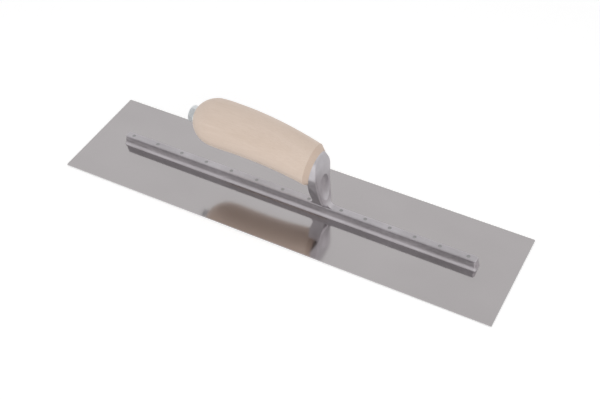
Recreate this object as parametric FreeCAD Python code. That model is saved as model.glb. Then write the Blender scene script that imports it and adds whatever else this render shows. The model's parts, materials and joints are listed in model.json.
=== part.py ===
"""Steel finishing trowel: thin steel blade, riveted cast mounting with its shank, wooden handle on a bolt.

Millimetres. X runs along the blade towards the toe, Y across it and Z up. The origin is the middle of
the blade's underside. Heights named "..._height" are above the blade's top face.
"""
import FreeCAD, Part
import math
import os
from FreeCAD import Vector

# Blade
blade_length = 406.4
blade_width = 101.6
blade_thickness = 0.8
blade_corner_radius = 0.4

# Mounting rib, the long bar along the blade; (height, half width, how far its ends draw in)
rib_rear_x = -172.0
rib_front_x = 172.5
rib_corner_radius = 2.4
rib_stations = ((0.0, 5.2, 0.0), (0.5, 5.15, 0.05), (2.0, 4.45, 0.55), (4.2, 3.85, 1.0),
                (7.0, 3.68, 1.3), (10.0, 3.6, 1.55))
rib_top_rounding = 0.7
rib_height = 10.0

# Rivets that hold the rib to the blade
rivet_end_x = 163.1
rear_rivet_pitch = 25.8
rear_rivet_count = 8
front_rivet_x = 48.2
front_rivet_pitch = 22.5
front_rivet_count = 5
rivet_radius = 1.3
rivet_foot_radius = 2.2
rivet_head_radius = 1.65
rivet_head_depth = 0.6
rivet_sink = 0.1
rivet_dish_radius = 6.0
rivet_gap = 0.03

# Seat, the round face of the shank that the handle's front end stands on
seat_x = 25.8
seat_height = 50.0
seat_radius = 15.3
seat_tilt = 6.5

# Shank, from the seat down to the rib
shank_front = ((27.3, 66.5), (29.7, 59.0), (31.2, 51.0), (31.9, 43.0), (32.6, 34.0), (33.6, 26.0),
               (34.6, 19.0))
shank_toe = ((37.4, 12.6), (45.0, 10.0))
shank_foot_half_width = 10.1
shank_foot_height = 17.5
shank_heel_inset = 1.6
shank_root_height = 10.4
shank_root_half_width = 2.9
shank_edge_rounding = 1.7
shank_bevel = 0.42
shank_bevel_start = 0.9
shank_foot_bevel = 0.21
shield_rear_x = 18.0
plate_back_start = 9.0
plate_extra_depth = 5.0
plate_back = ((27.8, 35.5), (30.0, 30.5), (31.9, 23.5), (34.0, 15.0))
web_back = ((18.6, 30.5), (19.2, 25.0), (20.9, 17.5), (22.2, 13.0))
web_heel_x = 19.2
web_top = ((18.2, 32.6), (22.6, 33.6), (29.5, 35.5))
web_front = ((33.4, 22.0), (35.5, 14.0))
web_root_half_width = 2.9
web_top_half_width = 5.0
root_overlap = 2.0

# Scoop in the shank's front face, an ellipsoid that leans forward at its foot
scoop_x = 37.0
scoop_height = 30.6
scoop_tilt = 9.0
scoop_depth_radius = 6.6
scoop_half_width = 9.7
scoop_half_height = 16.2

# Boss behind the seat that takes the bolt's thread, inside the handle
thread_boss_radius = 7.5
thread_boss_length = 7.0
boss_root = 1.0
thread_depth = 3.4

# Handle bolt, a 5/16 in hexagon head screw, and its washer
bolt_radius = 3.97
bolt_head_flats = 12.7
bolt_head_length = 5.4
bolt_head_turn = 41.0
bolt_point_chamfer = 0.9
bolt_point_clearance = 0.6
bolt_head_bevel_inset = 0.4
bolt_head_bevel_angle = 30.0
thread_gap = 0.04
washer_radius = 7.9
washer_hole_radius = 4.4
washer_thickness = 1.6

# Handle: a dome, a level stretch and a bend down to the seat; its thickness tapers towards the front
handle_bore_radius = 4.6
handle_pocket_gap = 0.3
spot_face_radius = 9.2
spot_face_floor = 114.9
dome_centre_x = -67.5
dome_length = 23.4
dome_steps = 5
dome_last_angle = 69.0
grip_height = 62.7
grip_radius = 20.9
bend_start_x = -52.0
bend_radius = 258.0
grip_front_x = 21.6
grip_front_radius = 18.5
grip_steps = 9
grip_taper_power = 1.2
handle_mouth_radius = 15.4

# Cutting shapes run this far past what they cut
over_cut = 1.0
handle_over_cut = 40.0


def at(x, height, y=0.0):
    """A point at a height above the blade's top face."""
    return Vector(x, y, blade_thickness + height)


seat_centre = at(seat_x, seat_height)
bolt_way = Vector(math.cos(math.radians(seat_tilt)), 0, -math.sin(math.radians(seat_tilt)))
seat_up = Vector(math.sin(math.radians(seat_tilt)), 0, math.cos(math.radians(seat_tilt)))


def along_bolt(distance):
    """The point of the bolt's axis that lies this far in front of the seat, or behind it if negative."""
    return seat_centre + bolt_way * distance


def rod(radius, start, end):
    """A cylinder on the bolt's axis between two distances from the seat."""
    return Part.makeCylinder(radius, end - start, along_bolt(start), bolt_way)


def rivet_positions():
    rear = [-rivet_end_x + index * rear_rivet_pitch for index in range(rear_rivet_count)]
    front = [front_rivet_x + index * front_rivet_pitch for index in range(front_rivet_count)]
    return rear + front + [rivet_end_x]


def rivet_solid(x, gap):
    """A set rivet, or with a gap its hole: a countersunk foot, a straight body and a flush upset head."""
    top = blade_thickness + rib_height
    foot = Part.makeCone(rivet_foot_radius + gap, rivet_radius + gap, blade_thickness, Vector(x, 0, 0))
    body = Part.makeCylinder(rivet_radius + gap, top, Vector(x, 0, 0))
    head_base = Vector(x, 0, top - rivet_head_depth)
    head = Part.makeCone(rivet_radius + gap, rivet_head_radius + gap, rivet_head_depth, head_base)
    return foot.fuse(body).fuse(head).removeSplitter()


def rivet(x):
    """The rivet is pressed a little below the rib's top and has a shallow dished end."""
    end = blade_thickness + rib_height - rivet_sink
    dish = Part.makeSphere(rivet_dish_radius, Vector(x, 0, end - rivet_sink + rivet_dish_radius))
    length = Part.makeCylinder(rivet_foot_radius + over_cut, end - rivet_gap, Vector(x, 0, rivet_gap))
    return rivet_solid(x, 0.0).common(length).cut(dish)


def blade():
    plate = Part.makeBox(blade_length, blade_width, blade_thickness,
                         Vector(-blade_length / 2, -blade_width / 2, 0))
    upright = [edge for edge in plate.Edges if abs(edge.tangentAt(edge.FirstParameter).z) > 0.9]
    plate = plate.makeFillet(blade_corner_radius, upright)
    for x in rivet_positions():
        plate = plate.cut(rivet_solid(x, rivet_gap))
    return plate


def rounded_rectangle(x0, x1, half_width, radius, z):
    """A closed outline in a level plane, with quarter-circle corners."""
    bend = radius * (1 - math.sqrt(0.5))
    corners = ((x1, half_width), (x0, half_width), (x0, -half_width), (x1, -half_width))
    edges = []
    ends = []
    for x, y in corners:
        side_x = math.copysign(1, x)
        side_y = math.copysign(1, y)
        on_end = Vector(x, y - side_y * radius, z)
        on_side = Vector(x - side_x * radius, y, z)
        middle = Vector(x - side_x * bend, y - side_y * bend, z)
        first, last = (on_end, on_side) if side_x == side_y else (on_side, on_end)
        ends.append((first, middle, last))
    for index, (first, middle, last) in enumerate(ends):
        edges.append(Part.Arc(first, middle, last).toShape())
        edges.append(Part.LineSegment(last, ends[(index + 1) % 4][0]).toShape())
    return Part.Wire(edges)


def rib():
    """The bar's steep sides run down into a flared skirt, and its top edges are rounded."""
    wires = []
    for height, half_width, draw in rib_stations:
        wires.append(rounded_rectangle(rib_rear_x + draw, rib_front_x - draw, half_width,
                                       rib_corner_radius - draw / 2, blade_thickness + height))
    bar = Part.makeLoft(wires, True, False)
    top = blade_thickness + rib_height
    rim = [edge for edge in bar.Edges if edge.BoundBox.ZMin > top - 0.01]
    return bar.makeFillet(rib_top_rounding, rim)


def curve(points):
    """A smooth curve through points."""
    spline = Part.BSplineCurve()
    spline.interpolate(points)
    return spline.toShape()


def lines(points):
    """Straight edges from point to point."""
    return [Part.LineSegment(a, b).toShape() for a, b in zip(points, points[1:])]


def side_slab(edges, half_width):
    """A side view, drawn in the middle plane, made into a slab."""
    face = Part.Face(Part.Wire(edges))
    face.translate(Vector(0, -half_width, 0))
    return face.extrude(Vector(0, 2 * half_width, 0))


def shield_outline(x):
    """The shank's section across X: a round head on straight flanks that narrow to the rib.

    It gets smaller and lower towards the front, which bevels the rim around the shank's face.
    """
    shrink = shank_bevel * (x - seat_x - shank_bevel_start)
    radius = seat_radius - shrink
    height = seat_height - shrink
    foot_half_width = shank_foot_half_width - shank_foot_bevel * (x - seat_x - shank_bevel_start)
    foot = at(x, shank_foot_height, foot_half_width)
    rise = height - shank_foot_height
    to_foot = math.hypot(rise, foot_half_width)
    tangent_angle = math.acos(radius / to_foot) - math.atan2(rise, foot_half_width)
    top, shoulder, touch = [at(x, height + radius * math.sin(angle), radius * math.cos(angle))
                            for angle in (math.pi / 2, math.pi / 4, tangent_angle)]
    heel = at(x, (shank_foot_height + rib_height) / 2, foot_half_width - shank_heel_inset)
    root = at(x, shank_root_height, shank_root_half_width)
    sunk = at(x, rib_height - root_overlap - over_cut, root.y)
    half = [Part.Arc(top, shoulder, touch).toShape(), Part.LineSegment(touch, foot).toShape(),
            Part.Arc(foot, heel, root).toShape(), Part.LineSegment(root, sunk).toShape()]
    other = [edge.mirror(top, Vector(0, 1, 0)) for edge in half]
    floor = Part.LineSegment(sunk, Vector(x, -sunk.y, sunk.z)).toShape()
    return Part.Wire(Part.__sortEdges__(half + [floor] + other))


def shank_shield():
    """The solid inside all of the shank's sections."""
    ends = [shield_outline(shield_rear_x), shield_outline(shank_toe[-1][0] + over_cut)]
    return Part.makeLoft(ends, True, True)


def shank_plate():
    """The plate behind the shank's front face; its back is the seat and then a curve down to the toe.

    It is drawn deeper than the seat while the edge of its face is rounded, and then cut off at the seat.
    """
    front = [at(x, height) for x, height in shank_front]
    toe = [at(x, height) for x, height in shank_toe]
    back = [at(x, height) for x, height in plate_back]
    seat_top = seat_centre + seat_up * (seat_radius + 3 * over_cut)
    seat_bottom = seat_centre - seat_up * plate_back_start
    sunk = rib_height - root_overlap
    root = [at(shank_toe[-1][0], sunk), at(plate_back[-1][0], sunk)]
    edges = [curve(front + toe)]
    edges += lines([toe[-1]] + root + [back[-1]])
    edges += [curve([back[-1]] + back[-2::-1] + [seat_bottom])]
    deeper = bolt_way * -plate_extra_depth
    edges += lines([seat_bottom, seat_bottom + deeper, seat_top + deeper, front[0]])
    plate = side_slab(edges, seat_radius + over_cut).common(shank_shield())
    plate = plate.makeFillet(shank_edge_rounding, front_rim(plate))
    return plate.cut(rod(2 * seat_radius, -2 * plate_extra_depth, 0))


def web_section(x):
    """The web's outline across X: upright inside the rib, then widening to its top."""
    sunk = rib_height - root_overlap - over_cut
    top = web_top[-1][1] + over_cut
    right = [at(x, sunk, web_root_half_width), at(x, rib_height, web_root_half_width),
             at(x, top, web_top_half_width)]
    left = [Vector(point.x, -point.y, point.z) for point in reversed(right)]
    return Part.Face(Part.Wire(lines(right + left + right[:1])))


def shank_web():
    """The narrow web behind the plate, which widens upward from the rib to just under the handle."""
    back = [at(x, height) for x, height in web_back]
    heel = at(web_heel_x, rib_height)
    top = [at(x, height) for x, height in web_top]
    front = [at(x, height) for x, height in web_front]
    sunk = rib_height - root_overlap
    edges = [curve([top[0]] + back + [heel])]
    edges += lines([heel, at(heel.x, sunk), at(front[-1].x, sunk)] + front[::-1] + top[::-1])
    slab = side_slab(edges, web_top_half_width + over_cut)
    start = web_top[0][0] - over_cut
    section = web_section(start)
    return slab.common(section.extrude(Vector(front[-1].x + over_cut - start, 0, 0)))


def scoop():
    """A sphere stretched to the scoop's three half lengths, leaning with the shank's face."""
    ball = Part.makeSphere(1.0)
    stretch = FreeCAD.Matrix()
    stretch.scale(Vector(scoop_depth_radius, scoop_half_width, scoop_half_height))
    ball = ball.transformGeometry(stretch)
    ball.rotate(Vector(0, 0, 0), Vector(0, 1, 0), -scoop_tilt)
    ball.translate(at(scoop_x, scoop_height))
    return ball


def mounting_casting():
    plate = shank_plate()
    shank = plate.fuse(shank_web()).cut(scoop())
    casting = rib().fuse(shank).fuse(rod(thread_boss_radius, -thread_boss_length, boss_root))
    casting = casting.cut(rod(bolt_radius + thread_gap, -thread_boss_length - over_cut, thread_depth))
    for x in rivet_positions():
        casting = casting.cut(rivet_solid(x, rivet_gap))
    return casting.removeSplitter()


def front_rim(plate):
    """The long edges between the shank's front face and its flanks."""
    on_front = Part.Vertex(at(*shank_front[2]))
    front = min(plate.Faces, key=lambda face: face.distToShape(on_front)[0])
    lowest = blade_thickness + shank_root_height + over_cut
    return [edge for edge in front.Edges if edge.CenterOfMass.z > lowest]


def grip_section(x, height, radius, tilt):
    """A round section of the grip, in a plane that leans forward at the top by tilt degrees."""
    ring = Part.Wire([Part.makeCircle(radius, Vector(0, 0, 0), Vector(1, 0, 0))])
    ring.rotate(Vector(0, 0, 0), Vector(0, 1, 0), tilt)
    ring.translate(at(x, height))
    return ring


def grip_sections():
    """The dome's sections follow an ellipse, and the bend's sections follow an arc."""
    sections = []
    for step in range(dome_steps, 0, -1):
        angle = math.radians(dome_last_angle * step / dome_steps)
        x = dome_centre_x - dome_length * math.sin(angle)
        sections.append(grip_section(x, grip_height, grip_radius * math.cos(angle), 0))
    sections.append(grip_section(dome_centre_x, grip_height, grip_radius, 0))
    for step in range(grip_steps + 1):
        share = step / grip_steps
        x = bend_start_x + (grip_front_x - bend_start_x) * share
        drop = bend_radius - math.sqrt(bend_radius ** 2 - (x - bend_start_x) ** 2)
        radius = grip_radius + (grip_front_radius - grip_radius) * share ** grip_taper_power
        sections.append(grip_section(x, grip_height - drop, radius, seat_tilt * share))
    return sections


def handle():
    """A turned and bent grip with a bevelled mouth, bored for the bolt and spot-faced at its rear end."""
    sections = grip_sections()
    body = Part.makeLoft(sections, True, False)
    mouth = grip_section(seat_x, seat_height, handle_mouth_radius, seat_tilt)
    bevel = Part.makeLoft([sections[-1], mouth], True, True)
    grip = body.fuse(bevel)
    behind = -spot_face_floor - handle_over_cut
    grip = grip.cut(rod(handle_bore_radius, behind, over_cut))
    pocket_radius = thread_boss_radius + handle_pocket_gap
    grip = grip.cut(rod(pocket_radius, -thread_boss_length - handle_pocket_gap, over_cut))
    return grip.cut(rod(spot_face_radius, behind, -spot_face_floor)).removeSplitter()


def washer():
    start = -spot_face_floor - washer_thickness
    return rod(washer_radius, start, -spot_face_floor).cut(rod(washer_hole_radius, start - over_cut, 0))


def handle_bolt():
    """The head stands on the washer and is bevelled at its end; the point ends short of the hole's bottom."""
    head_base = -spot_face_floor - washer_thickness
    point = thread_depth - bolt_point_clearance
    stem = rod(bolt_radius, head_base - over_cut, point)
    tip = [edge for edge in stem.Edges if (edge.CenterOfMass - along_bolt(point)).Length < 0.01]
    stem = stem.makeChamfer(bolt_point_chamfer, tip)
    corner_radius = bolt_head_flats / math.sqrt(3)
    side = Vector(0, 1, 0)
    corners = []
    for index in range(7):
        turn = math.radians(bolt_head_turn + 60 * index)
        reach = side * math.cos(turn) + seat_up * math.sin(turn)
        corners.append(along_bolt(head_base - bolt_head_length) + reach * corner_radius)
    prism = Part.Face(Part.makePolygon(corners)).extrude(bolt_way * bolt_head_length)
    cone_height = bolt_head_length + corner_radius
    cone_radius = bolt_head_flats / 2 - bolt_head_bevel_inset
    cone_spread = cone_height / math.tan(math.radians(bolt_head_bevel_angle))
    bevel = Part.makeCone(cone_radius, cone_radius + cone_spread, cone_height,
                          along_bolt(head_base - bolt_head_length), bolt_way)
    head = prism.common(bevel)
    return head.fuse(stem).removeSplitter()


def write(name, shape):
    solids = shape.Solids
    assert len(solids) == 1 and shape.isValid(), name
    solids[0].exportStep("parts/" + name + ".step")
    print(name, round(shape.Volume, 1), "mm3")


def main():
    os.makedirs("parts", exist_ok=True)
    write("blade", blade())
    write("mounting_casting", mounting_casting())
    for number, x in enumerate(rivet_positions(), 1):
        write("rivet_%02d" % number, rivet(x))
    write("handle", handle())
    write("washer", washer())
    write("handle_bolt", handle_bolt())


main()
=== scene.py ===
"""Looks of the steel finishing trowel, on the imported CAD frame: materials, camera, light and floor.

Metres. +X runs along the blade to the toe, +Z up, and z = 0 is the underside of the blade.
"""
import json
import math

import bpy
from mathutils import Matrix, Vector

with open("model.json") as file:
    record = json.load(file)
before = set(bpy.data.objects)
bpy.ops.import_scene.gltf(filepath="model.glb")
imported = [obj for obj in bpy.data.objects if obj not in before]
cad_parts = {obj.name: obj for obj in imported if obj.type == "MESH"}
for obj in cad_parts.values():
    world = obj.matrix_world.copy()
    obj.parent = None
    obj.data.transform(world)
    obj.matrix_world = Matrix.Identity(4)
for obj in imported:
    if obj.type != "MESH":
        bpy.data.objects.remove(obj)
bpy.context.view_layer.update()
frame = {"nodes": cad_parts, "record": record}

# Camera: where it stands and how it is turned; azimuth 0 looks along +Y
camera_place = Vector((0.32450, -0.56461, 0.65502))
camera_azimuth = math.radians(29.2285)
camera_elevation = math.radians(45.1219)
camera_roll = math.radians(-1.7086)
camera_lens = 63.784
camera_sensor = 36.0

# Light: the studio all round, and panels. The studio's tone goes by the height of a direction, from -1 straight
# down to 1 straight up. The front, towards -Y, and the back have tones of their own, which blend beside the trowel.
front_tones = ((-1.0, 0.3), (-0.88, 0.35), (-0.76, 0.9), (0.0, 0.87), (0.44, 0.9), (0.58, 0.34), (1.0, 0.36))
back_tones = ((-1.0, 0.7), (-0.12, 0.75), (0.1, 0.8), (0.75, 0.72), (0.92, 0.5), (1.0, 0.42))
studio_blend = 0.3
# Panels: name, place, size, power, and whether its light goes to matt or to shiny shading
panels = (("soft_box", (0.855, -0.77, 1.04), 1.2, 5.1, "matt"),
          ("edge_panel", (0.78, -0.70, 0.95), 1.1, 2.2, "shiny"),
          ("overhead", (-0.25, -0.15, 1.5), 1.0, 4.0, "matt"),
          ("rear_panel", (1.0, 0.9, 0.68), 1.0, 0.4, "shiny"))

# The handle's mouth is bevelled across the grain from this far along the bolt's axis, which points down a little
bolt_tilt = math.radians(6.5)
# From there on, the wood's colour is darkened as painted shade on the bevel
bevel_shade_start = 0.0155
bevel_shade_edge = 0.0002

floor_size = 12.0
floor_gap = 0.0005


def node(tree, kind, inputs=None, **settings):
    """Adds a node. Its inputs are given by name, each a value or the output that feeds it."""
    made = tree.nodes.new(kind)
    for name, value in settings.items():
        setattr(made, name, value)
    for name, value in (inputs or {}).items():
        if isinstance(value, bpy.types.NodeSocket):
            tree.links.new(value, made.inputs[name])
        else:
            made.inputs[name].default_value = value
    return made


def start_material(name, **uniform):
    """A new material whose shader has these uniform values."""
    material = bpy.data.materials.new(name)
    material.use_nodes = True
    shader = material.node_tree.nodes["Principled BSDF"]
    for socket, value in uniform.items():
        shader.inputs[socket.replace("_", " ")].default_value = value
    return material, material.node_tree, shader


def noise(tree, scale, detail=3.0, roughness=0.5, distortion=0.0):
    """Noise in the frame's own metres; scale is cycles per metre along X, Y and Z."""
    place = node(tree, "ShaderNodeTexCoord").outputs["Object"]
    stretched = node(tree, "ShaderNodeMapping", {"Vector": place, "Scale": scale}).outputs["Vector"]
    made = node(tree, "ShaderNodeTexNoise", {"Vector": stretched, "Scale": 1.0, "Detail": detail,
                                             "Roughness": roughness, "Distortion": distortion})
    return made.outputs["Fac"]


def ramp(tree, value, stops):
    """Turns a value into a colour; stops are (value, (red, green, blue))."""
    made = node(tree, "ShaderNodeValToRGB", {"Fac": value})
    elements = made.color_ramp.elements
    while len(elements) < len(stops):
        elements.new(0.5)
    for element, (position, colour) in zip(elements, stops):
        element.position = position
        element.color = (*colour, 1.0)
    return made.outputs["Color"]


def spread(tree, value, low, high):
    """Maps a value's middle range, 0.3 to 0.7, onto low to high."""
    made = node(tree, "ShaderNodeMapRange", {"Value": value, "From Min": 0.3, "From Max": 0.7,
                                             "To Min": low, "To Max": high})
    return made.outputs["Result"]


def multiply(tree, first, second):
    """The product of two colours. The mix's inputs go by number, because several have the same name."""
    made = node(tree, "ShaderNodeMix", {6: first, 7: second, 0: 1.0}, data_type="RGBA", blend_type="MULTIPLY")
    return made.outputs[2]


def bump(tree, shader, height, depth, strength=1.0):
    """Relief of this depth in metres."""
    made = node(tree, "ShaderNodeBump", {"Height": height, "Distance": depth, "Strength": strength})
    tree.links.new(made.outputs["Normal"], shader.inputs["Normal"])


def blade_steel():
    """Ground steel: fine lines along the blade, a cloudy tone and slightly uneven gloss."""
    material, tree, shader = start_material("blade_steel", Metallic=1.0)
    lines = noise(tree, (60.0, 9000.0, 9000.0), detail=4.0, roughness=0.65)
    clouds = noise(tree, (14.0, 22.0, 22.0), detail=2.0)
    tone = ramp(tree, clouds, ((0.3, (0.568, 0.541, 0.546)), (0.7, (0.595, 0.567, 0.572))))
    tree.links.new(tone, shader.inputs["Base Color"])
    tree.links.new(spread(tree, lines, 0.09, 0.125), shader.inputs["Roughness"])
    bump(tree, shader, lines, 0.000002)
    return material


def cast_aluminium():
    """Tumbled casting: a fine mottle and broad clouds in its tone, over a softly uneven skin."""
    material, tree, shader = start_material("cast_aluminium", Metallic=1.0)
    mottle = noise(tree, (260.0, 260.0, 260.0), detail=5.0, roughness=0.6)
    clouds = noise(tree, (35.0, 60.0, 60.0), detail=2.0)
    skin = noise(tree, (900.0, 900.0, 900.0), detail=3.0)
    fine = ramp(tree, mottle, ((0.3, (0.9, 0.895, 0.9)), (0.7, (1.0, 1.0, 1.0))))
    broad = ramp(tree, clouds, ((0.3, (0.6, 0.572, 0.594)), (0.7, (0.7, 0.67, 0.7))))
    tree.links.new(multiply(tree, fine, broad), shader.inputs["Base Color"])
    tree.links.new(spread(tree, mottle, 0.3, 0.42), shader.inputs["Roughness"])
    bump(tree, shader, skin, 0.00002)
    return material


def rivet_metal():
    """Rivet ends, upset and ground flush: darker and duller than the casting round them."""
    material, tree, shader = start_material("rivet_metal", Metallic=1.0)
    marks = noise(tree, (2200.0, 2200.0, 2200.0), detail=3.0)
    tone = ramp(tree, marks, ((0.3, (0.36, 0.355, 0.36)), (0.7, (0.52, 0.51, 0.515))))
    tree.links.new(tone, shader.inputs["Base Color"])
    tree.links.new(spread(tree, marks, 0.34, 0.5), shader.inputs["Roughness"])
    bump(tree, shader, marks, 0.00002)
    return material


def zinc_steel():
    """Zinc plate, half dull: bluish, with a faint spangle."""
    material, tree, shader = start_material("zinc_steel", Metallic=0.75)
    spangle = noise(tree, (700.0, 700.0, 700.0), detail=2.0)
    tone = ramp(tree, spangle, ((0.3, (0.8, 0.83, 0.845)), (0.7, (0.89, 0.915, 0.93))))
    tree.links.new(tone, shader.inputs["Base Color"])
    tree.links.new(spread(tree, spangle, 0.36, 0.48), shader.inputs["Roughness"])
    bump(tree, shader, spangle, 0.00001)
    return material


def bevel_painted_shade(tree):
    """Painted shade: a darker tone in the wood's colour from the start of the bevel at the handle's mouth."""
    place = node(tree, "ShaderNodeTexCoord").outputs["Object"]
    axis = (math.cos(bolt_tilt), 0.0, -math.sin(bolt_tilt))
    along = node(tree, "ShaderNodeVectorMath", {0: place, 1: axis}, operation="DOT_PRODUCT").outputs["Value"]
    share = node(tree, "ShaderNodeMapRange", {"Value": along, "From Min": bevel_shade_start - bevel_shade_edge,
                                              "From Max": bevel_shade_start + bevel_shade_edge})
    return ramp(tree, share.outputs["Result"], ((0.0, (1.0, 1.0, 1.0)), (1.0, (0.86, 0.83, 0.81))))


def handle_wood():
    """Pale sanded hardwood: broad soft figure, fine grain and short pores, all along the handle, with painted shade
    on the bevel at the mouth.
    """
    material, tree, shader = start_material("handle_wood", Specular_IOR_Level=0.35, Sheen_Weight=0.25,
                                            Sheen_Roughness=0.4)
    figure = noise(tree, (9.0, 70.0, 70.0), detail=2.0, distortion=0.3)
    grain = noise(tree, (40.0, 1400.0, 1400.0), detail=4.0, roughness=0.6)
    pores = noise(tree, (260.0, 3800.0, 3800.0), detail=2.0)
    broad = ramp(tree, figure, ((0.3, (0.70, 0.572, 0.482)), (0.7, (0.735, 0.608, 0.52))))
    fine = ramp(tree, grain, ((0.35, (0.95, 0.935, 0.92)), (0.65, (1.0, 1.0, 1.0))))
    dots = ramp(tree, pores, ((0.28, (0.9, 0.86, 0.82)), (0.36, (1.0, 1.0, 1.0))))
    # The last factor is painted shade, darkening the bevel at the handle's mouth
    whole = multiply(tree, multiply(tree, multiply(tree, broad, fine), dots), bevel_painted_shade(tree))
    tree.links.new(whole, shader.inputs["Base Color"])
    tree.links.new(spread(tree, grain, 0.5, 0.62), shader.inputs["Roughness"])
    bump(tree, shader, grain, 0.00004)
    return material


def floor_white():
    """Matt white paper that glows a little, as on a light table."""
    material, tree, shader = start_material("floor_white", Roughness=0.9, Specular_IOR_Level=0.1,
                                            Emission_Color=(1.0, 1.0, 1.0, 1.0), Emission_Strength=0.25)
    fibre = noise(tree, (300.0, 300.0, 300.0), detail=2.0)
    tone = ramp(tree, fibre, ((0.3, (0.93, 0.93, 0.93)), (0.7, (0.95, 0.95, 0.95))))
    tree.links.new(tone, shader.inputs["Base Color"])
    return material


def dress_frame():
    """Every CAD node gets its slot's material."""
    made = {"blade_steel": blade_steel(), "cast_aluminium": cast_aluminium(), "rivet_metal": rivet_metal(),
            "handle_wood": handle_wood(), "zinc_steel": zinc_steel()}
    for part in frame["record"]["subparts"]:
        mesh = frame["nodes"][part["node"]].data
        mesh.materials.clear()
        mesh.materials.append(made[part["material_slot"]])


def add_floor():
    """A square sheet just under the blade, which stays out of reflections."""
    half = floor_size / 2
    mesh = bpy.data.meshes.new("floor")
    mesh.from_pydata([(-half, -half, -floor_gap), (half, -half, -floor_gap), (half, half, -floor_gap),
                      (-half, half, -floor_gap)], [], [(0, 1, 2, 3)])
    mesh.materials.append(floor_white())
    floor = bpy.data.objects.new("floor", mesh)
    bpy.context.scene.collection.objects.link(floor)
    floor.visible_glossy = False


def tones_by_height(tree, height, stops):
    """Brightness by the height of the direction, -1 to 1."""
    share = node(tree, "ShaderNodeMapRange", {"Value": height, "From Min": -1.0, "From Max": 1.0})
    greys = [((stop + 1.0) / 2.0, (tone,) * 3) for stop, tone in stops]
    return ramp(tree, share.outputs["Result"], greys)


def add_studio():
    """A pale studio all round, toned by direction."""
    world = bpy.data.worlds.new("studio")
    world.use_nodes = True
    tree = world.node_tree
    direction = node(tree, "ShaderNodeTexCoord").outputs["Generated"]
    axes = node(tree, "ShaderNodeSeparateXYZ", {"Vector": direction}).outputs
    behind = node(tree, "ShaderNodeMapRange", {"Value": axes["Y"], "From Min": -studio_blend,
                                               "From Max": studio_blend})
    tones = node(tree, "ShaderNodeMix", {0: behind.outputs["Result"],
                                         6: tones_by_height(tree, axes["Z"], front_tones),
                                         7: tones_by_height(tree, axes["Z"], back_tones)}, data_type="RGBA")
    tree.links.new(tones.outputs[2], tree.nodes["Background"].inputs["Color"])
    bpy.context.scene.world = world


def add_panels():
    """Square lights that face the middle of the blade."""
    for name, place, size, power, lit in panels:
        data = bpy.data.lights.new(name, "AREA")
        data.size = size
        data.energy = power
        light = bpy.data.objects.new(name, data)
        light.location = place
        light.rotation_mode = "QUATERNION"
        light.rotation_quaternion = (-Vector(place)).to_track_quat("-Z", "Y")
        light.visible_diffuse = lit == "matt"
        light.visible_glossy = lit == "shiny"
        bpy.context.scene.collection.objects.link(light)


def add_camera():
    """Azimuth and elevation turn the view to the trowel, and the roll then leans it."""
    back = Vector((math.sin(camera_azimuth) * math.cos(camera_elevation),
                   -math.cos(camera_azimuth) * math.cos(camera_elevation), math.sin(camera_elevation)))
    level_right = Vector((0, 0, 1)).cross(back).normalized()
    level_up = back.cross(level_right)
    right = level_right * math.cos(camera_roll) + level_up * math.sin(camera_roll)
    up = level_up * math.cos(camera_roll) - level_right * math.sin(camera_roll)
    data = bpy.data.cameras.new("camera")
    data.lens = camera_lens
    data.sensor_width = camera_sensor
    camera = bpy.data.objects.new("camera", data)
    camera.matrix_world = Matrix((right, up, back)).transposed().to_4x4()
    camera.location = camera_place
    bpy.context.scene.collection.objects.link(camera)
    bpy.context.scene.camera = camera


bpy.context.scene.view_settings.view_transform = "Standard"
dress_frame()
add_floor()
add_studio()
add_panels()
add_camera()
